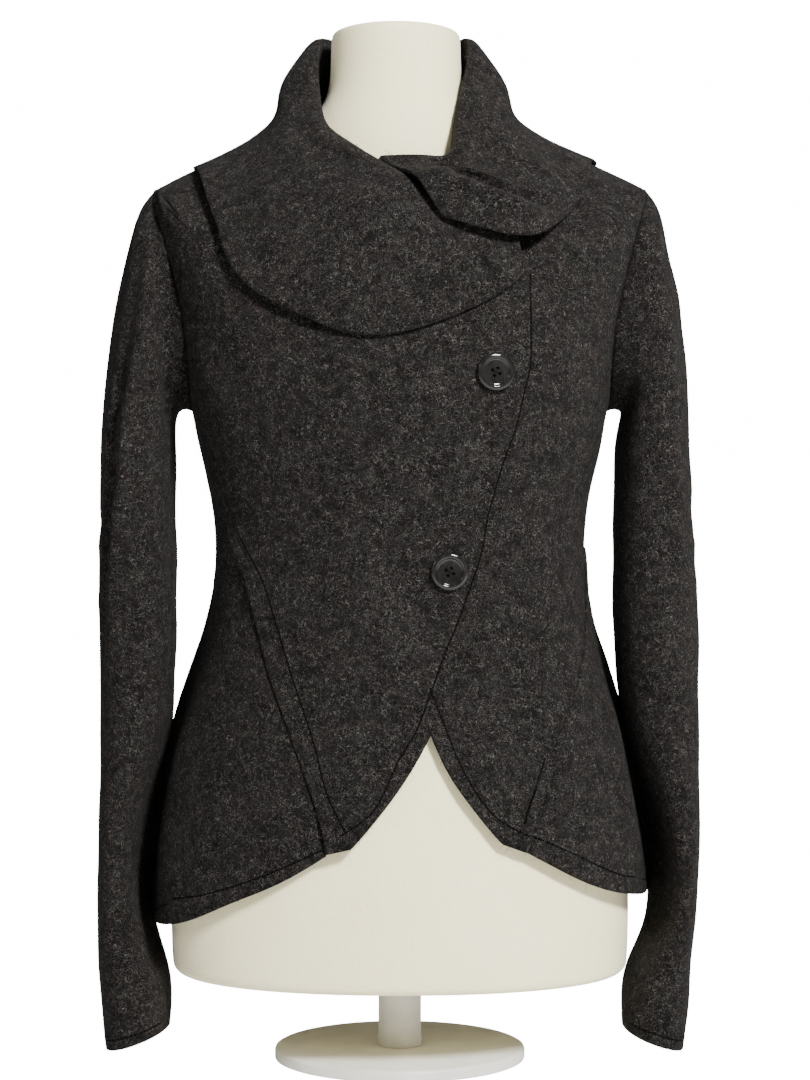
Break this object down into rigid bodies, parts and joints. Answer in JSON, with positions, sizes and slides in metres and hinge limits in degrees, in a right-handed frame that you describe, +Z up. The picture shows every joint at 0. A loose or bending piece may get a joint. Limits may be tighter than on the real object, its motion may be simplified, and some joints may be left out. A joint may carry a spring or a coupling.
{
  "type": "wool jacket on a dress form",
  "caption": "Cropped wrap jacket in boiled wool with a wide folded collar and a cutaway flared hem, worn by a limbless dress form on a low round stand.",
  "frame": {"origin": "centre of the underside of the round stand, on the floor", "axes": "+Z up along the form, -Y to the front of the jacket, +X to the left of the wearer"},
  "size_m": [0.46, 0.2816, 0.7884],
  "materials": {
    "wool": "matt boiled wool",
    "horn": "polished",
    "cover": "smooth matt cover",
    "paint": "satin paint"
  },
  "bodies": {
    "root": {"right_front": "wool", "left_front": "wool", "right_side": "wool", "left_side": "wool", "right_back": "wool", "left_back": "wool", "right_seam_band": "wool", "left_seam_band": "wool", "right_sleeve": "wool", "left_sleeve": "wool", "collar_right": "wool", "collar_left": "wool", "button_upper": "horn", "button_lower": "horn", "dress_form": "cover", "stand_pole": "paint", "stand_base": "paint"}
  },
  "joints": []
}
